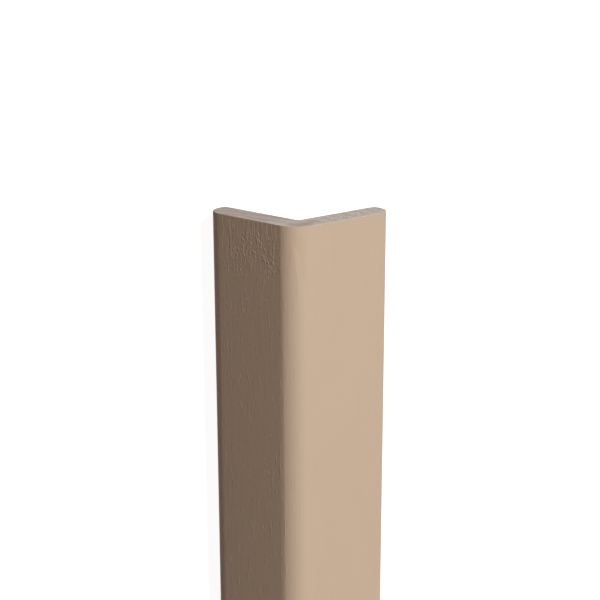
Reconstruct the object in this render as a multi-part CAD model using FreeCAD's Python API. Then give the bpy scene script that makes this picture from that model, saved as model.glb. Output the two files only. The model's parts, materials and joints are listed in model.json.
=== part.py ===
import FreeCAD, Part
import math
import os

# Corner guard moulding: one length of L-section wooden trim that covers the outer corner of a wall.
# It lies as it comes to rest on a floor: outer corner uppermost, standing on the edges of its two legs,
# length along Y, origin on the floor under its middle. All sizes are in millimetres.

# Driving dimensions.
STOCK_LENGTH = 1200.0
LEG_WIDTH = 27.0
THICKNESS = 6.0
# Round on the outer corner, where the guard takes its knocks.
CORNER_RADIUS = 5.0
# Fillet in the inner corner, which the wall's own corner faces.
INNER_FILLET_RADIUS = 1.0
# Small round that breaks each leg's edge on the wall side.
BACK_EDGE_RADIUS = 1.0

# The rest of each leg's edge is one larger round that runs out into the outer face.
EDGE_RADIUS = THICKNESS - BACK_EDGE_RADIUS

# The section is drawn with its legs along +X and +Z, then turned until the corner between them points up.
TURN_TO_REST_DEG = 135.0
# At rest each leg touches the floor halfway round its small back edge.
CORNER_HEIGHT = (LEG_WIDTH + THICKNESS - 2 * BACK_EDGE_RADIUS) / math.sqrt(2) + BACK_EDGE_RADIUS

ORIGIN = FreeCAD.Vector(0, 0, 0)
ALONG = FreeCAD.Vector(0, 1, 0)


def arc(centre_x, centre_z, radius, start_deg, end_deg):
    """Arc of the section, its angles counted from +X towards +Z."""
    points = []
    for angle_deg in (start_deg, (start_deg + end_deg) / 2, end_deg):
        angle = math.radians(angle_deg)
        x = centre_x + radius * math.cos(angle)
        z = centre_z + radius * math.sin(angle)
        points.append(FreeCAD.Vector(x, 0, z))
    return Part.Arc(*points)


def straight(before, after):
    """Straight run of the section from the end of one arc to the start of the next."""
    return Part.LineSegment(before.EndPoint, after.StartPoint)


def section():
    """Closed face of the section, with the sharp outer corner of its legs at the origin."""
    edge_far = LEG_WIDTH - EDGE_RADIUS
    back_far = LEG_WIDTH - BACK_EDGE_RADIUS
    inner = THICKNESS + INNER_FILLET_RADIUS

    corner = arc(CORNER_RADIUS, CORNER_RADIUS, CORNER_RADIUS, 180, 270)
    first_edge = arc(edge_far, EDGE_RADIUS, EDGE_RADIUS, 270, 360)
    first_back_edge = arc(back_far, EDGE_RADIUS, BACK_EDGE_RADIUS, 0, 90)
    fillet = arc(inner, inner, INNER_FILLET_RADIUS, 270, 180)
    second_back_edge = arc(EDGE_RADIUS, back_far, BACK_EDGE_RADIUS, 0, 90)
    second_edge = arc(EDGE_RADIUS, edge_far, EDGE_RADIUS, 90, 180)

    outline = [
        corner,
        straight(corner, first_edge),
        first_edge,
        first_back_edge,
        straight(first_back_edge, fillet),
        fillet,
        straight(fillet, second_back_edge),
        second_back_edge,
        second_edge,
        straight(second_edge, corner),
    ]
    return Part.Face(Part.Wire([curve.toShape() for curve in outline]))


def corner_guard():
    """The whole moulding: its section drawn out to the stock length and laid at rest on the floor."""
    solid = section().extrude(ALONG * STOCK_LENGTH)
    solid.translate(ALONG * (-STOCK_LENGTH / 2))
    solid.rotate(ORIGIN, ALONG, TURN_TO_REST_DEG)
    solid.translate(FreeCAD.Vector(0, 0, CORNER_HEIGHT))
    return solid


os.makedirs("parts", exist_ok=True)
corner_guard().exportStep("parts/corner_guard.step")
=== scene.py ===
# %% [markdown]
# # A painted wooden corner guard
#
# A corner guard is a length of L-shaped wooden trim. It is fixed over the outer corner of a wall, so that
# knocks land on painted wood and not on plaster. This lesson dresses the CAD model of one. The section is
# drawn again with finer rounds, the cut ends get a softened arris, and the grain that rises through the
# paint becomes real relief near the end that shows best.
#
# The CAD model is loaded first, as a fixed frame. Its box is kept, because the dressed piece must stay
# inside it.

# %% Load the frame
import json
import math

import bmesh
import bpy
from mathutils import Matrix, Vector

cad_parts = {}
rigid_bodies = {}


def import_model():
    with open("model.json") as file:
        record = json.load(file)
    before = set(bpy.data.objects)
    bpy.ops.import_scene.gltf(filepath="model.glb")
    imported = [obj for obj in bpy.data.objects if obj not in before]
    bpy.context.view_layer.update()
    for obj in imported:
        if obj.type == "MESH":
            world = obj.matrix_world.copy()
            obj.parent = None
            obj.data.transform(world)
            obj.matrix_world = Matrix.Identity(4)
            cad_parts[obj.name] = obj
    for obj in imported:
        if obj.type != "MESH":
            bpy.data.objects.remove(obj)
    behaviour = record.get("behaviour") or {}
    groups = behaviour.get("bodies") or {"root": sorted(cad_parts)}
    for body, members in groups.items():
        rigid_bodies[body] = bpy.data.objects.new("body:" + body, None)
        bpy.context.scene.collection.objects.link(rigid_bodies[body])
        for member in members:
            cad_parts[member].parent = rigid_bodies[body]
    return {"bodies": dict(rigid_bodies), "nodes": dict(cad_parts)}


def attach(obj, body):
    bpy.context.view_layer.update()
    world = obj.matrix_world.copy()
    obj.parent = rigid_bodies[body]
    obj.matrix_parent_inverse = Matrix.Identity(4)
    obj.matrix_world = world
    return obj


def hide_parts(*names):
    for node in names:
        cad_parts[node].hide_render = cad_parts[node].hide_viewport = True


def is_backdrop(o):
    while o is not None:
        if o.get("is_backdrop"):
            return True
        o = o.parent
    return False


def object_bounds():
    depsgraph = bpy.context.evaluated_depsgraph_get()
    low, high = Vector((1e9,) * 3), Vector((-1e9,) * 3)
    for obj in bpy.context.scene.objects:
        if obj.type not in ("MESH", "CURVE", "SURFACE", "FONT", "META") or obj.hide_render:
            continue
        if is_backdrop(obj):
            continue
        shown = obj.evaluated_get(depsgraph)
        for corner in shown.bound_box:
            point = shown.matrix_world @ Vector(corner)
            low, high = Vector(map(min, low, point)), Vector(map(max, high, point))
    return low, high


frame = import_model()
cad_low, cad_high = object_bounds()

MM = 0.001


def in_mm(lengths):
    """Lengths in millimetres, rounded for printing."""
    return [round(length / MM, 3) for length in lengths]


bpy.context.scene.view_settings.view_transform = "Standard"
print("the frame holds", ", ".join(frame["nodes"]), "on the body", ", ".join(frame["bodies"]))
print("CAD box in mm:", in_mm(cad_high - cad_low))

# %% [markdown]
# ## Sizes
#
# The section's sizes repeat the CAD source, and the length is read from the frame. The true rounds are
# finer than the facets of the CAD mesh, so the finished piece is eased into the CAD box at the end, by a
# few hundredths of a millimetre.

# %% Sizes of the section, in metres
LEG_WIDTH = 27 * MM
THICKNESS = 6 * MM
CORNER_RADIUS = 5 * MM
INNER_FILLET_RADIUS = 1 * MM
BACK_EDGE_RADIUS = 1 * MM
EDGE_RADIUS = THICKNESS - BACK_EDGE_RADIUS
LENGTH = cad_high.y - cad_low.y
CORNER_HEIGHT = (LEG_WIDTH + THICKNESS - 2 * BACK_EDGE_RADIUS) / math.sqrt(2) + BACK_EDGE_RADIUS
print("length, and height of the sharp corner above the floor, in mm:", in_mm([LENGTH, CORNER_HEIGHT]))

# %% [markdown]
# ## Picking parts of a mesh
#
# An edit-mode operator works on what is selected. By hand one would click; a script picks by place instead.
# The first helper selects only the vertices, edges or faces that pass a test, and says how many there were.
# The second compares two lengths.

# %% Helpers that pick by place
SLACK = 0.001 * MM


def pick(kind, test):
    """Selects, in edit mode, only the vertices, edges or faces whose middle passes the test."""
    bpy.ops.mesh.select_mode(type=kind)
    bpy.ops.mesh.select_all(action="DESELECT")
    mesh = bpy.context.edit_object.data
    parts = bmesh.from_edit_mesh(mesh)
    group = {"VERT": parts.verts, "EDGE": parts.edges, "FACE": parts.faces}[kind]
    count = 0
    for part in group:
        corners = [part.co] if kind == "VERT" else [corner.co for corner in part.verts]
        middle = Vector([sum(values) / len(corners) for values in zip(*corners)])
        if test(middle, part):
            part.select_set(True)
            count += 1
    parts.select_flush_mode()
    bmesh.update_edit_mesh(mesh)
    return count


def near(first, second):
    """True where two lengths are the same but for rounding."""
    return abs(first - second) < SLACK


print("two lengths count as the same within", SLACK / MM, "mm")

# %% [markdown]
# ## The section
#
# The real section is run on a moulder, whose cutters shape all sides of a bar in one pass. It could be
# drawn point by point. Here it starts as the small square where the two legs meet, because then each leg is
# one extruded edge and its width is plain to see. The faces are joined into one L, and the two points that
# are left over on its straight sides are dissolved.

# %% Draw the L
bpy.ops.object.select_all(action="DESELECT")
bpy.ops.mesh.primitive_plane_add(
    size=THICKNESS,
    location=(THICKNESS / 2, -LENGTH / 2, THICKNESS / 2),
    rotation=(math.pi / 2, 0, 0),
)
guard = bpy.context.object
guard.name = "corner_guard_moulding"
bpy.ops.object.transform_apply(location=True, rotation=True, scale=True)
bpy.ops.object.mode_set(mode="EDIT")
reach = LEG_WIDTH - THICKNESS
pick("EDGE", lambda middle, edge: near(middle.x, THICKNESS))
bpy.ops.mesh.extrude_edges_move(TRANSFORM_OT_translate={"value": (reach, 0, 0)})
pick("EDGE", lambda middle, edge: near(middle.z, THICKNESS) and middle.x < THICKNESS)
bpy.ops.mesh.extrude_edges_move(TRANSFORM_OT_translate={"value": (0, 0, reach)})
bpy.ops.mesh.select_all(action="SELECT")
bpy.ops.mesh.dissolve_faces()


def in_line(place, vertex):
    """True for a point that the extrusions left in the middle of a straight side."""
    on_first_leg = near(place.x, THICKNESS) and near(place.z, 0)
    on_second_leg = near(place.z, THICKNESS) and near(place.x, 0)
    return on_first_leg or on_second_leg


dissolved = pick("VERT", in_line)
bpy.ops.mesh.dissolve_verts()
corner_count = len(bmesh.from_edit_mesh(guard.data).verts)
print("the L has", corner_count, "corners;", dissolved, "points in line were dissolved")

# %% [markdown]
# ## Its rounds
#
# The cutters leave a big round on the outer corner, a big and a small round on the edge of each leg, and a
# little fillet inside. Bevelling a vertex rounds a flat corner, and a profile of one half makes the round a
# true quarter circle. The two rounds on a leg's edge use up the whole wall between them, so the points
# where they meet are merged.

# %% Round its six corners
# a corner of the section, its radius, and the straight segments that stand for its arc
ROUNDS = [
    ((0, 0), CORNER_RADIUS, 48),
    ((LEG_WIDTH, 0), EDGE_RADIUS, 24),
    ((0, LEG_WIDTH), EDGE_RADIUS, 24),
    ((LEG_WIDTH, THICKNESS), BACK_EDGE_RADIUS, 8),
    ((THICKNESS, LEG_WIDTH), BACK_EDGE_RADIUS, 8),
    ((THICKNESS, THICKNESS), INNER_FILLET_RADIUS, 10),
]
CIRCLE = 0.5
MERGE_DISTANCE = 0.002 * MM
for (x, z), radius, segments in ROUNDS:
    pick("VERT", lambda place, vertex: near(place.x, x) and near(place.z, z))
    bpy.ops.mesh.bevel(
        affect="VERTICES", offset=radius, segments=segments, profile=CIRCLE, clamp_overlap=False
    )
bpy.ops.mesh.select_all(action="SELECT")
bpy.ops.mesh.remove_doubles(threshold=MERGE_DISTANCE)
print("rounded section:", len(bmesh.from_edit_mesh(guard.data).verts), "points")

# %% [markdown]
# ## Drawing it out
#
# The section is extruded along the length in three stretches: a long plain one, a short one that leads over
# to finer mesh, and the end where the raised grain will be. One long extrusion would have to be fine all
# the way. The mesh stops short of each saw cut by the width of the arris, the edge between cut and face.

# %% Extrude along the length
ARRIS = 0.15 * MM
FINE_STRETCH = 13.5 * MM
LEAD_STRETCH = 30 * MM
SQUARE_ON = 0.999
end_y = LENGTH / 2
fine_y = end_y - FINE_STRETCH
lead_y = fine_y - LEAD_STRETCH
bpy.ops.mesh.select_all(action="SELECT")
bpy.ops.transform.translate(value=(0, ARRIS, 0))
here = ARRIS - end_y
for stop in (lead_y, fine_y, end_y - ARRIS):
    pick("FACE", lambda middle, face: near(middle.y, here) and abs(face.normal.y) > SQUARE_ON)
    bpy.ops.mesh.extrude_region_move(TRANSFORM_OT_translate={"value": (0, stop - here, 0)})
    here = stop
bpy.ops.mesh.select_all(action="SELECT")
bpy.ops.mesh.normals_make_consistent(inside=False)
solid = bmesh.from_edit_mesh(guard.data)
print("open edges after extruding:", sum(not edge.is_manifold for edge in solid.edges))

# %% [markdown]
# ## The arris of the cuts
#
# A saw leaves a sharp arris, and a touch of sandpaper rounds it over. A bevel would do it too, but it has
# to find its way round an outline of 126 edges. Insets of the flat cut are steadier: each goes in and out
# by one step of a quarter circle. The edge between arris and cut is marked sharp, so that smooth shading
# leaves the cut flat.

# %% Soften the arris of both cuts
ARRIS_STEPS = 5
cut_from = end_y - 2 * ARRIS
for end in (-1, 1):
    for step in range(ARRIS_STEPS):
        pick("FACE", lambda middle, face: face.normal.y * end > SQUARE_ON and middle.y * end > cut_from)
        start, stop = [math.pi / 2 * (step + share) / ARRIS_STEPS for share in (0, 1)]
        bpy.ops.mesh.inset(
            thickness=ARRIS * (math.cos(start) - math.cos(stop)),
            depth=ARRIS * (math.sin(stop) - math.sin(start)),
        )
    bpy.ops.mesh.region_to_loop()
    bpy.ops.mesh.mark_sharp()
solid = bmesh.from_edit_mesh(guard.data)
places = [vertex.co.y for vertex in solid.verts]
print("saw cuts at", in_mm([min(places), max(places)]), "mm")

# %% [markdown]
# ## Mesh for the relief
#
# Raised grain is about a third of a millimetre wide, so the mesh under it has to be finer still.
# Subdividing the edges that run along the length cuts rows, close together only in the last stretch.
# Subdividing the edges across a flat cuts columns, close together only on the left leg's outer face. A few
# columns on the other flats keep smooth shading from bending their light towards the rounds. One
# subdivision makes 100 cuts at most, so the finest ones are made in two goes.

# %% Cut rows and columns
FINE_ROWS = (14, 12)
FINE_COLUMNS = (16, 16)
LEAD_ROWS = 4
LONG_ROWS = 8
PLAIN_COLUMNS = 10
FLAT_WIDTH = LEG_WIDTH - EDGE_RADIUS - CORNER_RADIUS
X_AXIS, Y_AXIS = 0, 1
MOSTLY = 0.9


def runs(edge, axis):
    """True for an edge that lies along an axis."""
    first, second = edge.verts
    return abs(first.co[axis] - second.co[axis]) > MOSTLY * edge.calc_length()


def cut(test, *counts):
    """Cuts each edge that passes the test into parts, and those parts again for each further count."""
    for count in counts:
        pick("EDGE", test)
        bpy.ops.mesh.subdivide(number_cuts=count - 1)


def cut_rows(low, high, *rows):
    """Cuts the stretch between two places on the length into rows."""

    def along_stretch(middle, edge):
        return runs(edge, Y_AXIS) and low < middle.y < high and edge.calc_length() > ARRIS

    cut(along_stretch, *rows)


def across_left_face(middle, edge):
    """True for an edge across the flat of the left leg's outer face."""
    on_flat = CORNER_RADIUS < middle.x < LEG_WIDTH - EDGE_RADIUS
    return runs(edge, X_AXIS) and middle.z < 2 * ARRIS and on_flat


def across_whole_flat(middle, edge):
    """True for an edge that still spans a flat from round to round."""
    return edge.calc_length() > FLAT_WIDTH - 2 * ARRIS and not runs(edge, Y_AXIS)


cut_rows(fine_y, end_y - ARRIS, *FINE_ROWS)
cut_rows(lead_y, fine_y, LEAD_ROWS)
cut_rows(ARRIS - end_y, lead_y, LONG_ROWS)
cut(across_left_face, *FINE_COLUMNS)
cut(across_whole_flat, PLAIN_COLUMNS)
bpy.ops.object.mode_set(mode="OBJECT")
triangles = sum(len(face.vertices) - 2 for face in guard.data.polygons)
print("faces:", len(guard.data.polygons), "triangles:", triangles)

# %% [markdown]
# ## Writing node maths as sums
#
# Materials and geometry nodes both need arithmetic on values that change over a surface. One small class
# wraps a node's output, so that a sum such as `1 - mask * 0.5` adds its own Math nodes. Every other node
# comes from one method: the node's type, its settings, and the values or links of its sockets. Two methods
# shape a value: `ramp` goes from one level to another, and `band` rises and falls again.


# %% A wrapper for node sockets
class Wire:
    """One output of a node. Arithmetic on it adds Math nodes to the same tree."""

    def __init__(self, tree, socket=None):
        self.tree = tree
        self.socket = socket

    def node(self, kind, settings=None, inputs=None, output=0):
        """Adds any node: its settings first, then the values or links of its inputs."""
        made = self.tree.nodes.new(kind)
        for name, value in (settings or {}).items():
            setattr(made, name, value)
        for key, value in (inputs or {}).items():
            if isinstance(value, Wire):
                self.tree.links.new(value.socket, made.inputs[key])
            else:
                made.inputs[key].default_value = value
        return Wire(self.tree, made.outputs[output] if made.outputs else None)

    def other(self, output):
        """Another output of the same node."""
        return Wire(self.tree, self.socket.node.outputs[output])

    def math(self, operation, *others):
        """A Math node that has this value as its first input."""
        return self.node("ShaderNodeMath", {"operation": operation}, dict(enumerate((self, *others))))

    def __add__(self, other):
        return self.math("ADD", other)

    def __sub__(self, other):
        return self.math("SUBTRACT", other)

    def __rsub__(self, other):
        return self.math("MULTIPLY_ADD", -1.0, other)

    def __mul__(self, other):
        return self.math("MULTIPLY", other)

    def __truediv__(self, other):
        return self.math("DIVIDE", other)

    __radd__ = __add__
    __rmul__ = __mul__

    def ramp(self, low, high, start=0.0, end=1.0, kind="SMOOTHSTEP"):
        """Goes from start, where this value is low, to end, where it is high, and stays within both."""
        inputs = {0: self, 1: low, 2: high, 3: start, 4: end}
        return self.node("ShaderNodeMapRange", {"interpolation_type": kind}, inputs)

    def band(self, begin, full, fade, end):
        """Rises from 0 at begin to 1 at full, and falls from 1 at fade to 0 at end."""
        return self.ramp(begin, full) * self.ramp(fade, end, 1.0, 0.0)

    def dot(self, direction):
        """How far this vector reaches along a direction."""
        settings = {"operation": "DOT_PRODUCT"}
        return self.node("ShaderNodeVectorMath", settings, {0: self, 1: direction}, "Value")

    def times(self, factors):
        """This vector with each part multiplied by its own factor."""
        return self.node("ShaderNodeVectorMath", {"operation": "MULTIPLY"}, {0: self, 1: factors})

    def join(self, second):
        """A flat vector of this value and another."""
        return self.node("ShaderNodeCombineXYZ", inputs={0: self, 1: second})

    def noise(self, scale, detail=2.0, roughness=0.5):
        """Soft noise between 0 and 1 at this place: its scale, and how much fine detail it has."""
        inputs = {"Vector": self, "Scale": scale, "Detail": detail, "Roughness": roughness}
        return self.node("ShaderNodeTexNoise", {"noise_dimensions": "3D"}, inputs)

    def mix(self, first, second):
        """The first colour where this value is 0, the second where it is 1."""
        # sockets 6 and 7 of a Mix node take its two colours, and its output 2 gives the mixed one
        return self.node("ShaderNodeMix", {"data_type": "RGBA"}, {0: self, 6: first, 7: second}, 2)


print("Wire can", ", ".join(name for name in vars(Wire) if not name.startswith("_")))

# %% [markdown]
# ## Flecks of raised grain
#
# When a planed face is painted, short bundles of fibre swell and stand up as flecks. On this piece they are
# thickest just below the cut end of the left leg, and they lean a little. They could be sculpted one by
# one, but a Voronoi pattern makes them all at once: it gives one point to each cell of a grid. Squeezing
# the grid makes the flecks longer than wide, turning it makes them lean, and a random number for each cell
# makes some high and leaves others flat.
#
# From here on, patterns are measured in millimetres, because that is how such detail is read off a piece.

# %% The shape of the flecks
FLECK_LEAN = math.radians(24)
FLECK_CELL = (0.4, 1.25)
# how far a fleck reaches from its point, as a share of its cell
FLECK_REACH = 0.46
FLECK_CONTRAST = 1.2


def flecks(across, along, sparse):
    """Heights from 0 to 1 of leaning flecks, in all cells but for a sparse share of them."""
    sine, cosine = math.sin(FLECK_LEAN), math.cos(FLECK_LEAN)
    sideways = (across * cosine + along * sine) / FLECK_CELL[0]
    lengthways = (along * cosine - across * sine) / FLECK_CELL[1]
    settings = {"voronoi_dimensions": "2D", "feature": "F1"}
    inputs = {"Vector": sideways.join(lengthways), "Scale": 1.0}
    distance = across.node("ShaderNodeTexVoronoi", settings, inputs)
    # the red part of a cell's random colour is its random number
    chance = distance.other("Color").dot((1, 0, 0))
    strength = chance.ramp(sparse, 1.0, 0.0, 1.0, "LINEAR").math("POWER", FLECK_CONTRAST)
    return distance.ramp(0.0, FLECK_REACH, 1.0, 0.0) * strength


def oval(across, along, middle, reach):
    """Grows from 0 in the middle of an oval to 1 on its rim, and on beyond it."""
    side = (across - middle[0]) / reach[0]
    rise = (along - middle[1]) / reach[1]
    return side * side + rise * rise


print("fleck cells in a square millimetre:", round(1 / (FLECK_CELL[0] * FLECK_CELL[1]), 2))

# %% [markdown]
# ## Heights of the raised grain
#
# The relief below the cut has three parts. Flecks fill two overlapping oval patches with ragged rims, clear
# of the cut and of the outer round. Fine lines run along the length and fade out before the patches end.
# Shallow flutes run down from the cut, some further than others. Each part is one function of two
# distances: across the leg, and below the cut. A fade is written as `ramp` takes it: where it begins, where
# it ends, and its levels there.

# %% Heights of the flecks
FLECK_HEIGHT = 0.075
UPPER_PATCH = {"middle": (10.4, 5.4), "reach": (10.4, 4.7)}
LOWER_PATCH = {"middle": (17.6, 9.4), "reach": (4.2, 3.2)}
UPPER_FADE = (0.35, 1.15, 1.0, 0.0)
LOWER_FADE = (0.35, 1.15, 0.8, 0.0)
NOISE_MIDDLE = 0.5
RAGGED_SCALE = 0.35
RAGGED_REACH = 1.2
CLEAR_OF_CUT = (0.8, 2.4)
CLEAR_OF_ROUND = (4.8, 6.4, 0.2, 1.0)


def fleck_relief(across, below):
    """Height of the flecks in their two patches."""
    ragged = (across.join(below).noise(RAGGED_SCALE) - NOISE_MIDDLE) * RAGGED_REACH
    upper = (oval(across, below, **UPPER_PATCH) + ragged).ramp(*UPPER_FADE)
    lower = (oval(across, below, **LOWER_PATCH) + ragged).ramp(*LOWER_FADE)
    mask = upper.math("MAXIMUM", lower) * below.ramp(*CLEAR_OF_CUT) * across.ramp(*CLEAR_OF_ROUND)
    return flecks(across, below, 0.0) * mask * FLECK_HEIGHT


print("flecks stand up to", FLECK_HEIGHT, "mm high")

# %% Heights of the fine lines
LINE_HEIGHT = 0.08
LINE_SCALE = (1.9, 0.2)
LINE_FADE = (6.0, 11.5, 1.0, 0.0)


def line_relief(across, below):
    """Height of the fine lines along the length."""
    lines = (across * LINE_SCALE[0]).join(below * LINE_SCALE[1]).noise(1.0) - NOISE_MIDDLE
    return lines * below.ramp(*LINE_FADE) * LINE_HEIGHT


print("lines end", LINE_FADE[1], "mm below the cut")

# %% Heights of the flutes
FLUTE_HEIGHT = 0.012
FLUTE_SPACING = 1.3
FLUTE_WANDER = 9.0
FLUTE_WANDER_SCALE = (0.4, 0.1)
FLUTE_TOP = 0.5
FLUTE_LENGTHS = (0.45, 0.7, 3.0, 9.0)
FLUTE_LENGTH_SCALE = 0.5
FLUTE_LENGTH_SEED = 7.3
FLUTES_NEAR_ROUND = (5.0, 8.0, 0.3, 1.0)
FLUTES_NEAR_EDGE = (12.0, 24.0, 1.0, 0.5)


def flute_relief(across, below):
    """Height of the flutes that run down from the cut."""
    drift = (across * FLUTE_WANDER_SCALE[0]).join(below * FLUTE_WANDER_SCALE[1]).noise(1.0)
    waves = (across * (2 * math.pi / FLUTE_SPACING) + drift * FLUTE_WANDER).math("SINE")
    length = (across * FLUTE_LENGTH_SCALE).join(FLUTE_LENGTH_SEED).noise(1.0).ramp(*FLUTE_LENGTHS)
    mask = below.ramp(FLUTE_TOP, length, 1.0, 0.0)
    mask = mask * across.ramp(*FLUTES_NEAR_ROUND) * across.ramp(*FLUTES_NEAR_EDGE)
    return waves * mask * FLUTE_HEIGHT


print("flutes run down for", FLUTE_LENGTHS[2], "to", FLUTE_LENGTHS[3], "mm")

# %% [markdown]
# ## Raising the grain
#
# The relief is real geometry, so that it is in the mesh as well as in the picture. A Displace modifier
# would need a texture for each of its parts. Geometry nodes can use the same sums as a material instead,
# and they move each vertex along its normal by the height. Two masks keep the relief on the left leg's
# outer face and on the fine mesh. The modifier is then applied.

# %% Raise it with geometry nodes
FACES_LEFT = (0.9, 0.98)
ON_FINE_MESH = (FINE_STRETCH / MM - 2, FINE_STRETCH / MM - 0.5, 1.0, 0.0)
relief = bpy.data.node_groups.new("raised_grain", "GeometryNodeTree")
for direction in ("INPUT", "OUTPUT"):
    relief.interface.new_socket("Geometry", in_out=direction, socket_type="NodeSocketGeometry")
sheet = Wire(relief)
piece = sheet.node("NodeGroupInput")
normal = sheet.node("GeometryNodeInputNormal")
place = sheet.node("GeometryNodeInputPosition")
across = place.dot((1 / MM, 0, 0))
below = end_y / MM - place.dot((0, 1 / MM, 0))
mask = normal.dot((0, 0, -1)).ramp(*FACES_LEFT) * below.ramp(*ON_FINE_MESH)
height = fleck_relief(across, below) + line_relief(across, below) + flute_relief(across, below)
offset_inputs = {0: normal, "Scale": height * mask * MM}
offset = sheet.node("ShaderNodeVectorMath", {"operation": "SCALE"}, offset_inputs)
raised = sheet.node("GeometryNodeSetPosition", inputs={"Geometry": piece, "Offset": offset})
sheet.node("NodeGroupOutput", inputs={0: raised})

flat_places = [vertex.co.copy() for vertex in guard.data.vertices]
bpy.context.view_layer.objects.active = guard
modifier = guard.modifiers.new("raised grain", "NODES")
modifier.node_group = relief
bpy.ops.object.modifier_apply(modifier=modifier.name)
rises = [(vertex.co - flat).length for vertex, flat in zip(guard.data.vertices, flat_places)]
print("vertices moved:", sum(rise > SLACK for rise in rises), "by up to", *in_mm([max(rises)]), "mm")

# %% [markdown]
# ## Laying it on the floor
#
# Loose stock lies with its corner up, on the edges of its two legs. The section is turned about its length
# and lifted until those edges touch the floor. Then it is eased into the CAD box, and the transform is
# applied, so that the object sits at the origin with its place in its mesh.

# %% Turn, lift and ease into the CAD box
TURN_TO_REST = math.radians(135)
SMOOTH_UP_TO = math.radians(45)


def mesh_box(thing):
    """Lowest and highest corner of a mesh."""
    sides = [[vertex.co[axis] for vertex in thing.data.vertices] for axis in range(3)]
    return Vector([min(values) for values in sides]), Vector([max(values) for values in sides])


guard.rotation_euler = (0, TURN_TO_REST, 0)
guard.location = (0, 0, CORNER_HEIGHT)
bpy.ops.object.transform_apply(location=True, rotation=True, scale=True)
low, high = mesh_box(guard)
ease = [min(1.0, (cad_high[axis] - cad_low[axis]) / (high[axis] - low[axis])) for axis in range(3)]
guard.scale = ease
guard.location = [cad_low[axis] - low[axis] * ease[axis] for axis in range(3)]
bpy.ops.object.transform_apply(location=True, rotation=True, scale=True)
bpy.ops.object.shade_smooth_by_angle(angle=SMOOTH_UP_TO, keep_sharp_edges=True)
print("eased by factors of", [round(share, 5) for share in ease])
low, high = mesh_box(guard)
print("it lies from", in_mm(low), "to", in_mm(high), "mm")

# %% [markdown]
# ## Places on the guard
#
# Every finish needs to know where it is on the piece. A UV map could tell it, but distances in millimetres
# need no unwrapping. Object coordinates give the point, and sums turn it into distances: across each leg,
# from the sharp corner that the outer round cuts off, and in from the cut end. A finish starts as an empty
# material and ends in one shader, whose normal is bent by small heights.

# %% Start and end of a finish, and its measures
SIDEWAYS = (1, 0, 0)
SLOPE = 1 / math.sqrt(2)
CORNER_ACROSS = CORNER_HEIGHT / MM * SLOPE


def new_finish(name):
    """An empty material, and a wire into its node tree."""
    material = bpy.data.materials.new(name)
    material.use_nodes = True
    material.node_tree.nodes.clear()
    return material, Wire(material.node_tree)


def point_in_mm(sheet):
    """The point of the piece that is being painted."""
    return sheet.node("ShaderNodeTexCoord", output="Object").times((1 / MM, 1 / MM, 1 / MM))


def across_legs(point):
    """Distances across the left and the right leg."""
    left = CORNER_ACROSS - point.dot((SLOPE, 0, SLOPE))
    right = CORNER_ACROSS + point.dot((SLOPE, 0, -SLOPE))
    return left, right


def in_from_end(point):
    """Distance in from the cut end that shows best."""
    return end_y / MM - point.dot((0, 1, 0))


def end_finish(sheet, colour, roughness, shine, height):
    """The shader of a finish, with heights in millimetres as bump."""
    normal = sheet.node("ShaderNodeBump", inputs={"Strength": 1.0, "Distance": MM, "Height": height})
    inputs = {"Base Color": colour, "Roughness": roughness, "Specular IOR Level": shine, "Normal": normal}
    shader = sheet.node("ShaderNodeBsdfPrincipled", inputs=inputs)
    sheet.node("ShaderNodeOutputMaterial", inputs={"Surface": shader})


print("the sharp corner lies", round(CORNER_ACROSS, 3), "mm from the origin across either leg")

# %% [markdown]
# ## Coats of paint
#
# The paint went on in two coats. The upper coat's edge is a soft step on the outer round, with a fine rim:
# it swings in from the left at the cut end and then runs straight. To its left the paint gets thicker, as
# far as a thin bead near the line where the round begins. All of this is no more than a few tenths of a
# millimetre high, so it is bump in the paint and needs no mesh of its own.

# %% Heights of the coats
LAP_STRAIGHT = 0.4
LAP_SWING = 3.2
LAP_SWING_LENGTH = 5.2
COAT_EDGE = 0.1
COAT_FALL = (-0.2, 1.3)
SOFT_AT_CUT = (1.5, 4.5, 3.0, 0.0)
SOFT_FURTHER_IN = (9.0, 18.0, 0.0, 0.7)
RIM_HEIGHT = 0.012
RIM = (-0.3, 0.0, 0.0, 0.3)
RIM_STARTS = (3.0, 5.0)
TAPER = (-2.7, 0.4, 0.1, 0.0, "LINEAR")
BEAD_HEIGHT = 0.02
BEAD = (-0.6, 0.0, 0.0, 0.7)
BEAD_PATH = (8.0, 35.0, -3.1, -2.7)
BEAD_STARTS = (1.5, 4.0)


def past_coat_edge(sideways, inward):
    """Distance to the right of the upper coat's edge."""
    swing = (inward * (-1 / LAP_SWING_LENGTH)).math("EXPONENT")
    return sideways - (LAP_STRAIGHT - LAP_SWING * swing)


def coat_heights(past_edge, sideways, inward):
    """Height of the coats of paint."""
    softness = inward.ramp(*SOFT_AT_CUT) + inward.ramp(*SOFT_FURTHER_IN)
    step = past_edge.ramp(COAT_FALL[0], COAT_FALL[1] + softness, 1.0, 0.0)
    rim = past_edge.band(*RIM) * inward.ramp(*RIM_STARTS)
    bead = (sideways - inward.ramp(*BEAD_PATH)).band(*BEAD) * inward.ramp(*BEAD_STARTS)
    return step * COAT_EDGE + rim * RIM_HEIGHT + sideways.ramp(*TAPER) + bead * BEAD_HEIGHT


print("the coat's edge starts", round(LAP_SWING - LAP_STRAIGHT, 2), "mm left of the ridge")

# %% [markdown]
# ## Grain under the paint
#
# The paint is thin, so the grain still shows through it, as short raised streaks, long faint ones and a
# stray fleck here and there. Both kinds of streak are noise that is stretched along the length. They could
# be relief in the mesh too, but they run from end to end, and bump costs no faces. The grain is strongest
# on the left leg's flat, weaker on the rounds, and faint to the right of the upper coat's edge, where the
# face is smooth.

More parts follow.
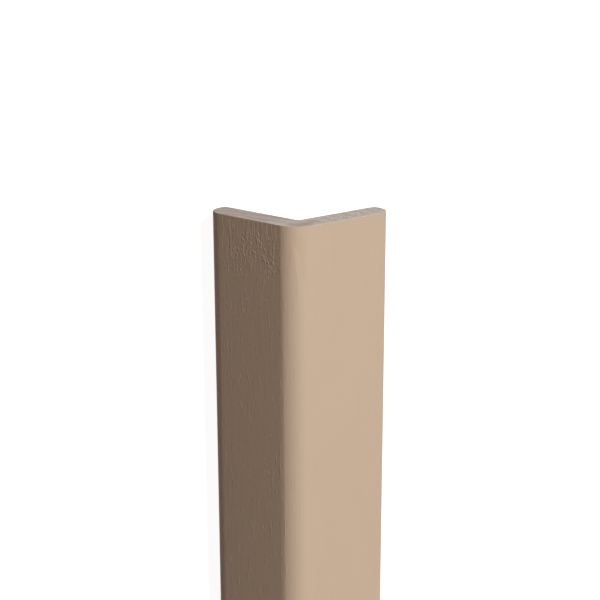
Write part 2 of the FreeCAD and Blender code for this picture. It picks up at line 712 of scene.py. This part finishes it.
# %% Heights of the grain
STREAK_HEIGHT = 0.03
STREAK_STRETCH = (1, 0.05, 1)
STREAK_SCALE = 2.0
RIDGE_HEIGHT = 0.048
RIDGE_STRETCH = (1, 0.13, 1)
RIDGE_NOISE = (2.4, 1.0)
RIDGE_RANGE = (0.62, 0.73)
STRAY_HEIGHT = 0.08
STRAY_SPARSE = 0.975
STRAYS_BELOW_PATCH = (12.0, 14.0)
STRAYS_LEFT_OF_ROUND = (4.5, 6.0)
GRAIN_PAST_COAT = (-0.6, 0.3, 1.0, 0.2)
GRAIN_ON_ROUND = (-3.2, -1.6, 1.0, 0.4)
GRAIN_ON_EDGE = (21.0, 23.0, 1.0, 0.4)


def grain_heights(point, streaks):
    """Height of the short raised streaks and of the long faint ones."""
    ridges = point.times(RIDGE_STRETCH).noise(*RIDGE_NOISE).ramp(*RIDGE_RANGE)
    return streaks * STREAK_HEIGHT + ridges * RIDGE_HEIGHT


def grain_shown(past_edge, left, sideways):
    """How much of the grain shows, from 0 to 1."""
    shown = past_edge.ramp(*GRAIN_PAST_COAT) * sideways.ramp(*GRAIN_ON_ROUND)
    return shown * left.ramp(*GRAIN_ON_EDGE)


def stray_heights(left, inward):
    """Height of the stray flecks, which lie beyond the patches of raised grain."""
    strays = flecks(left, inward, STRAY_SPARSE) * inward.ramp(*STRAYS_BELOW_PATCH)
    return strays * left.ramp(*STRAYS_LEFT_OF_ROUND) * STRAY_HEIGHT


print("short streaks stand", RIDGE_HEIGHT, "mm high, stray flecks", STRAY_HEIGHT, "mm")

# %% [markdown]
# ## Beige satin paint
#
# The colour wanders by about a hundredth, as rolled paint does. Painted shade darkens it towards the edge
# of the left leg, and painted light makes it lighter on the rounds and on the legs' edges. The arris of
# both ends is worn, and at the cut end one spot on the left leg's edge is near-black. A picture could be
# wrapped round the piece instead, but masks made of distances stay sharp from close by and need no file.
# The paint is nearly matt, and its sheen follows the same clouds as its colour.

# %% Worn places, and a dark spot
WORN_DEPTH = (0.1, 0.25, 1.0, 0.0)
WORN_SCALE = 0.5
WORN_PATCHES = (0.36, 0.54)
WORN_LEAST = 0.5
# a near-black spot on the left leg's edge, at the cut end
DARK_SPOT_OVAL = {"middle": (24.6, 0.25), "reach": (1.1, 0.6)}
DARK_SPOT_FADE = (0.4, 1.0, 0.85, 0.0)
DARK_SPOT_DEPTH = (2.5, 3.5, 1.0, 0.0)


def worn(point, inward):
    """How far the paint is worn, on the arris of either end."""
    from_end = inward.math("MINIMUM", LENGTH / MM - inward)
    return from_end.ramp(*WORN_DEPTH) * point.noise(WORN_SCALE).ramp(*WORN_PATCHES, WORN_LEAST, 1.0)


def dark_spot(left, right, inward):
    """How dark the spot on the left leg's edge is, at the cut end."""
    return oval(left, inward, **DARK_SPOT_OVAL).ramp(*DARK_SPOT_FADE) * right.ramp(*DARK_SPOT_DEPTH)


print("paint is worn up to", WORN_DEPTH[1], "mm from either end")

# %% The paint
PAINT_LIGHT = (0.588, 0.443, 0.321, 1)
PAINT_DARK = (0.576, 0.434, 0.314, 1)
# painted shade: the paint colour, darkened towards the left leg's edge
PAINT_SHADED_TOWARDS_EDGE = (0.532, 0.4, 0.29, 1)
# painted light: a lighter paint colour on the rounds and on the legs' edges
PAINT_LIT_ROUNDS = (0.612, 0.461, 0.334, 1)
PAINT_WORN = (0.46, 0.385, 0.312, 1)
# the colour of the near-black spot on the left leg's edge
PAINT_DARK_SPOT = (0.03, 0.03, 0.032, 1)
PAINT_SHINE = 0.05
PAINT_ROUGHNESS = 0.52
CLOUD_ROUGHNESS = 0.14
CLOUD_STRETCH = (1, 0.3, 1)
CLOUD_NOISE = (0.22, 3.0)
CLOUD_SHARE = 0.6
CLOUD_RANGE = (0.3, 0.7)
# where the painted shade darkens the left leg, by distance across it in mm
SHADE_TOWARDS_LEFT_EDGE = (5.0, 24.0, 0.0, 1.0, "LINEAR")
# where the painted light lies: a band over the corner round, and the edge rounds of the legs
LIT_CORNER_BAND = (-3.0, -1.5, 1.0, 3.5)
LIT_EDGE_BAND = (22.2, 23.4)
LIT_ROUNDS_SHARE = 0.8


def satin_paint():
    """Beige paint over planed wood."""
    material, sheet = new_finish("beige_satin_paint")
    point = point_in_mm(sheet)
    left, right = across_legs(point)
    sideways = point.dot(SIDEWAYS)
    inward = in_from_end(point)
    past_edge = past_coat_edge(sideways, inward)
    streaks = point.times(STREAK_STRETCH).noise(STREAK_SCALE)
    cloud = point.times(CLOUD_STRETCH).noise(*CLOUD_NOISE) * CLOUD_SHARE + streaks * (1 - CLOUD_SHARE)
    colour = cloud.ramp(*CLOUD_RANGE).mix(PAINT_DARK, PAINT_LIGHT)
    # painted shade: darker towards the left leg's edge
    colour = left.ramp(*SHADE_TOWARDS_LEFT_EDGE).mix(colour, PAINT_SHADED_TOWARDS_EDGE)
    # painted light: lighter on the corner round and on the legs' edges
    lit_edges = left.math("MAXIMUM", right).ramp(*LIT_EDGE_BAND)
    lit_rounds = sideways.band(*LIT_CORNER_BAND).math("MAXIMUM", lit_edges)
    colour = (lit_rounds * LIT_ROUNDS_SHARE).mix(colour, PAINT_LIT_ROUNDS)
    colour = worn(point, inward).mix(colour, PAINT_WORN)
    # near-black spot on the left leg's edge, at the cut end
    colour = dark_spot(left, right, inward).mix(colour, PAINT_DARK_SPOT)
    roughness = PAINT_ROUGHNESS + cloud * CLOUD_ROUGHNESS
    grain = grain_heights(point, streaks) * grain_shown(past_edge, left, sideways)
    height = coat_heights(past_edge, sideways, inward) + grain + stray_heights(left, inward)
    end_finish(sheet, colour, roughness, PAINT_SHINE, height)
    return material


paint = satin_paint()
print(paint.name, "has", len(paint.node_tree.nodes), "nodes")

# %% [markdown]
# ## Sawn end grain
#
# The saw leaves the ends bare: paler and greyer than the paint. The growth rings of the tree cross the left
# leg as broad dark arcs, and the right leg is coarse, with open pores and pale fibres. Near the outer
# corner the wood is stained brown, and a faint pale lip of painted highlight follows the outer edge. A wave
# texture could draw rings too, but the distance from a far middle, cut into equal steps, gives them their
# true curve. The rest is noise of several sizes.

# %% Rings of the wood, and depth in the section
RING_MIDDLE = (9.0, -34.0)
RING_WIDTH = 3.0
RING_WANDER = 4.0
RING_WANDER_SCALE = 0.2
RING_BAND = (0.2, 0.8, 0.85, 1.0)
RINGS_ON_LEFT = (5.0, 11.0, 0.4, 1.0)


def dark_rings(point, left, right):
    """How dark the growth rings are, from 0 to 1."""
    radius = oval(left, right, RING_MIDDLE, (1, 1)).math("SQRT")
    radius = radius + point.noise(RING_WANDER_SCALE) * RING_WANDER
    return (radius / RING_WIDTH).math("FRACT").band(*RING_BAND) * left.ramp(*RINGS_ON_LEFT)


def below_outer_face(left, right):
    """Depth below the outer face, counted round the corner's arc and no deeper than its radius."""
    radius = CORNER_RADIUS / MM
    past_left = (radius - left).math("MAXIMUM", 0.0)
    past_right = (radius - right).math("MAXIMUM", 0.0)
    return radius - (past_left * past_left + past_right * past_right).math("SQRT")


print("rings are", RING_WIDTH, "mm wide, round a middle", round(math.hypot(*RING_MIDDLE), 1), "mm away")

# %% Stain, and painted highlight at the outer edge
STAIN_SPOT = {"middle": (0.7, 1.6), "reach": (3.2, 2.4)}
STAIN_LEAN = 0.4
STAIN_BLOTCHES = 2.0
STAIN_FADE = (0.1, 1.2, 0.58, 0.0)
# painted highlight: how far in from the outer face it lies, and how strong it is
HIGHLIGHT_LIP_FADE = (0.25, 0.8, 0.12, 0.0)


def stained(sideways, depth, blotch):
    """How brown the wood is near the outer corner."""
    spread = oval(sideways, depth - sideways * STAIN_LEAN, **STAIN_SPOT)
    return (spread + (blotch - NOISE_MIDDLE) * STAIN_BLOTCHES).ramp(*STAIN_FADE)


def painted_highlight_lip(point, depth):
    """How strong the painted highlight along the outer edge is."""
    return depth.ramp(*HIGHLIGHT_LIP_FADE) * point.noise(WORN_SCALE).ramp(*WORN_PATCHES)


print("the stain reaches about", STAIN_SPOT["reach"][0], "mm to either side")

# %% The sawn end
PALE_WOOD = (0.655, 0.58, 0.495, 1)
BROWN_WOOD = (0.56, 0.467, 0.407, 1)
LATE_WOOD = (0.423, 0.347, 0.297, 1)
LIGHT_FIBRE = (0.75, 0.677, 0.605, 1)
STAIN = (0.39, 0.306, 0.222, 1)
# painted highlight: a pale colour along the outer edge of the cut end
HIGHLIGHT_LIP_COLOUR = (0.765, 0.677, 0.605, 1)
WOOD_SHINE = 0.08
SAWN_ROUGHNESS = 0.75
BLOTCH_ROUGHNESS = 0.12
BLOTCH_SCALE = 0.4
BROWN_ON_LEFT = (5.0, 12.0)
BROWN_BLOTCHES = 1.2
SPECKLE_NOISE = (1.7, 1.0)
SPECKLE_HEIGHT = 0.04
COARSE_ON_RIGHT = (6.0, 12.0, 0.3, 1.0)
RING_SHARE = 0.75
PORE_RANGE = (0.34, 0.46, 1.0, 0.0)
PORE_SHARE = 0.6
DARK_INSIDE = (3.0, 6.5, 0.0, 0.2)
FIBRE_RANGE = (0.56, 0.66)
FIBRE_SHARE = 0.75


def sawn_end():
    """Bare end grain, as the saw leaves it."""
    material, sheet = new_finish("sawn_end_grain")
    point = point_in_mm(sheet)
    left, right = across_legs(point)
    depth = below_outer_face(left, right)
    blotch = point.noise(BLOTCH_SCALE)
    speckle = point.noise(*SPECKLE_NOISE)
    coarse = right.ramp(*COARSE_ON_RIGHT)
    brown = left.ramp(*BROWN_ON_LEFT) + (blotch - NOISE_MIDDLE) * BROWN_BLOTCHES
    colour = brown.mix(PALE_WOOD, BROWN_WOOD)
    pores = speckle.ramp(*PORE_RANGE) * coarse
    dark = dark_rings(point, left, right) * RING_SHARE + pores * PORE_SHARE + depth.ramp(*DARK_INSIDE)
    colour = dark.mix(colour, LATE_WOOD)
    fibres = speckle.ramp(*FIBRE_RANGE) * coarse
    colour = (fibres * FIBRE_SHARE).mix(colour, LIGHT_FIBRE)
    colour = stained(point.dot(SIDEWAYS), depth, blotch).mix(colour, STAIN)
    # painted highlight along the outer edge
    colour = painted_highlight_lip(point, depth).mix(colour, HIGHLIGHT_LIP_COLOUR)
    roughness = SAWN_ROUGHNESS + blotch * BLOTCH_ROUGHNESS
    end_finish(sheet, colour, roughness, WOOD_SHINE, speckle * SPECKLE_HEIGHT)
    return material


end_grain = sawn_end()
print(end_grain.name, "has", len(end_grain.node_tree.nodes), "nodes")

# %% [markdown]
# ## Bare back
#
# Nobody sees the back once the guard is on its wall, so it is left as it came from the planer: pale wood
# with long grain. Two noises, stretched along the length, make broad grain and fine fibres. Paint has run a
# little way round the edge of each leg. A straight border would look masked, so noise makes it ragged.

# %% The bare back
PLANED_LIGHT = (0.66, 0.53, 0.41, 1)
PLANED_DARK = (0.54, 0.41, 0.30, 1)
PLANED_RANGE = (0.35, 0.65)
PLANED_ROUGHNESS = 0.8
GRAIN_STRETCH = (1, 0.02, 1)
GRAIN_NOISE = (0.9, 4.0, 0.6)
GRAIN_SHARE = 0.7
GRAIN_HEIGHT = 0.03
FIBRE_STRETCH = (1, 0.05, 1)
FIBRE_SCALE = 5.0
FIBRE_HEIGHT = 0.02
OVERRUN_PAINT = (0.584, 0.44, 0.319, 1)
OVERRUN_SMOOTHER = 0.2
OVERRUN_RANGE = (LEG_WIDTH / MM - 0.6, LEG_WIDTH / MM + 0.3)
OVERRUN_STRETCH = (1, 0.3, 1)
OVERRUN_NOISE = (0.8, 3.0)
OVERRUN_REACH = 1.6


def bare_back():
    """Planed wood, with some paint that has run round the legs' edges."""
    material, sheet = new_finish("bare_planed_back")
    point = point_in_mm(sheet)
    left, right = across_legs(point)
    grain = point.times(GRAIN_STRETCH).noise(*GRAIN_NOISE)
    fibres = point.times(FIBRE_STRETCH).noise(FIBRE_SCALE)
    tone = (grain * GRAIN_SHARE + fibres * (1 - GRAIN_SHARE)).ramp(*PLANED_RANGE)
    ragged = point.times(OVERRUN_STRETCH).noise(*OVERRUN_NOISE) * OVERRUN_REACH
    overrun = (left.math("MAXIMUM", right) + ragged).ramp(*OVERRUN_RANGE)
    colour = overrun.mix(tone.mix(PLANED_LIGHT, PLANED_DARK), OVERRUN_PAINT)
    roughness = PLANED_ROUGHNESS - overrun * OVERRUN_SMOOTHER
    height = fibres * FIBRE_HEIGHT + grain * GRAIN_HEIGHT
    end_finish(sheet, colour, roughness, WOOD_SHINE, height)
    return material


planed_back = bare_back()
print(planed_back.name, "has", len(planed_back.node_tree.nodes), "nodes")

# %% [markdown]
# ## Putting the finishes on
#
# All faces start as paint. Faces that look along the length are the sawn ends, and faces that look down and
# towards the middle of the piece are its back. Picking by normal finds both.

# %% Assign the finishes
SAWN_FROM = 0.6
LOOKS_DOWN = -0.1
INWARD_SLACK = 0.3 * MM


def is_sawn(middle, face):
    """True for a face that looks along the length."""
    return abs(face.normal.y) > SAWN_FROM


def is_back(middle, face):
    """True for a face that looks down and towards the middle."""
    looks_inward = face.normal.x * middle.x < INWARD_SLACK
    return face.normal.z < LOOKS_DOWN and looks_inward and not is_sawn(middle, face)


for finish in (paint, end_grain, planed_back):
    guard.data.materials.append(finish)
bpy.ops.object.mode_set(mode="EDIT")
for slot, test in ((1, is_sawn), (2, is_back)):
    count = pick("FACE", test)
    guard.active_material_index = slot
    bpy.ops.object.material_slot_assign()
    print(guard.data.materials[slot].name, "on", count, "faces")
bpy.ops.object.mode_set(mode="OBJECT")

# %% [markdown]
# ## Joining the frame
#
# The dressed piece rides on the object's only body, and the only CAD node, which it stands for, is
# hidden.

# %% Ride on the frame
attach(guard, "root")
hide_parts("corner_guard")
print(guard.name, "stands for corner_guard")

# %% [markdown]
# ## Floor and white surroundings
#
# The floor is plain and pale, and it throws some light back on the sides of the piece. A ray from the
# camera also sees a white glow on it. The glow alone is nearly white, so the ground is white where the
# lights reach it, and a little darker in the shadow of the piece. The world is white to the camera and to
# reflections, and only a weak warm fill for everything else.

# %% The floor
WHITE = (1, 1, 1, 1)
FLOOR_SIZE = 12
FLOOR_COLOUR = (0.42, 0.42, 0.42, 1)
FLOOR_GLOW = 0.93


def seen_directly(sheet):
    """1 for a ray from the camera, or from it by way of a reflection or through glass."""
    camera = sheet.node("ShaderNodeLightPath", output="Is Camera Ray")
    glossy = camera.other("Is Glossy Ray")
    through = camera.other("Is Transmission Ray")
    return camera.math("MAXIMUM", glossy).math("MAXIMUM", through)


bpy.ops.mesh.primitive_plane_add(size=FLOOR_SIZE, location=(0, 0, 0))
floor = bpy.context.object
floor.name = "floor"
material, sheet = new_finish("pale_floor")
plain = sheet.node("ShaderNodeBsdfDiffuse", inputs={"Color": FLOOR_COLOUR})
glow = sheet.node("ShaderNodeEmission", inputs={"Color": WHITE, "Strength": FLOOR_GLOW})
white = sheet.node("ShaderNodeAddShader", inputs={0: plain, 1: glow})
ground = sheet.node("ShaderNodeMixShader", inputs={0: seen_directly(sheet), 1: plain, 2: white})
sheet.node("ShaderNodeOutputMaterial", inputs={"Surface": ground})
floor.data.materials.append(material)
floor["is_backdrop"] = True
print("the floor is", FLOOR_SIZE, "m wide")

# %% The world
FILL_COLOUR = (1.0, 0.675, 0.573, 1)
FILL = 0.102

world = bpy.data.worlds.new("studio")
bpy.context.scene.world = world
world.use_nodes = True
world.node_tree.nodes.clear()
sheet = Wire(world.node_tree)
fill = sheet.node("ShaderNodeBackground", inputs={"Color": FILL_COLOUR, "Strength": FILL})
white = sheet.node("ShaderNodeBackground", inputs={"Color": WHITE, "Strength": 1.0})
surroundings = sheet.node("ShaderNodeMixShader", inputs={0: seen_directly(sheet), 1: fill, 2: white})
sheet.node("ShaderNodeOutputWorld", inputs={"Surface": surroundings})
print("the world is white to the camera, and a fill of", FILL, "to the piece")

# %% [markdown]
# ## Light
#
# One broad key light stands to the right, above, and a little past the cut end. It falls steeply on the
# right leg and only grazes the left one, which is why the left leg is dark and shows every raised fibre. A
# sun lamp with a wide disc gives that light evenly along the whole length. A small lamp near the cut end,
# in the same direction, makes that end a touch brighter than the rest, as a studio lamp close by does.

# %% The key light
KEY_SIDE = math.radians(33.5)
KEY_PAST_END = math.radians(28)
KEY_DISTANCE = 2
KEY_STRENGTH = 2.78
KEY_COLOUR = (0.967, 0.993, 1.0)
KEY_WIDTH = math.radians(10)


def leaning(side, past_end):
    """A direction that leans from straight up: to the right by one angle, past the cut end by another."""
    rise = math.cos(past_end)
    return Vector((math.sin(side) * rise, math.sin(past_end), math.cos(side) * rise))


key_from = leaning(KEY_SIDE, KEY_PAST_END)
key_turn = key_from.to_track_quat("Z", "Y").to_euler()
bpy.ops.object.light_add(type="SUN", location=key_from * KEY_DISTANCE, rotation=key_turn)
key = bpy.context.object
key.name = "key_light"
key.data.energy = KEY_STRENGTH
key.data.color = KEY_COLOUR
key.data.angle = KEY_WIDTH
print("the key light comes from", [round(value, 3) for value in key_from])

# %% The near lamp
NEAR_POWER = 0.48
NEAR_DISTANCE = 0.3
NEAR_RADIUS = 0.03

bpy.ops.object.light_add(type="POINT", location=Vector((0, end_y, 0)) + key_from * NEAR_DISTANCE)
lamp = bpy.context.object
lamp.name = "near_lamp"
lamp.data.energy = NEAR_POWER
lamp.data.color = KEY_COLOUR
lamp.data.shadow_soft_size = NEAR_RADIUS
lamp.visible_camera = False
print("the near lamp hangs at", in_mm(lamp.location), "mm")

# %% [markdown]
# ## Camera
#
# The camera looks down on the guard from above its cut end, tilted so that the length runs down the picture
# and out of it. Its place, its angles and its lens were found by fitting the section's outlines to the
# picture. Its back leans from straight up, as the key light does, so the same helper gives its direction.

# %% The camera, with angles in radians and its lens in millimetres
CAMERA_PLACE = Vector((4.226, 641.945, 239.01)) * MM
CAMERA_SWING = 0.017675
CAMERA_PITCH = 0.25041
CAMERA_ROLL = -0.002292
CAMERA_LENS = 72.79
SENSOR_WIDTH = 36
NEAREST_SEEN = 10 * MM

backward = leaning(CAMERA_SWING, CAMERA_PITCH)
level = Vector((0, 1, 0)).cross(backward).normalized()
unrolled = Matrix((level, backward.cross(level), backward)).transposed()
bpy.ops.object.camera_add(location=CAMERA_PLACE)
camera = bpy.context.object
camera.rotation_euler = (unrolled @ Matrix.Rotation(CAMERA_ROLL, 3, "Z")).to_euler()
camera.data.sensor_width = SENSOR_WIDTH
camera.data.lens = CAMERA_LENS
camera.data.clip_start = NEAREST_SEEN
bpy.context.scene.camera = camera
print("camera at", in_mm(camera.location), "mm, with a lens of", round(camera.data.lens, 2), "mm")

# %% [markdown] ## Sizes and finish Last, the dressed box is printed, beside the CAD box printed at the
# # start, so that anyone can see that the dressed piece stays inside the CAD model.

# %% Print the dressed box and finish
seen_low, seen_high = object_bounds()
print("dressed box in mm:", in_mm(seen_high - seen_low))
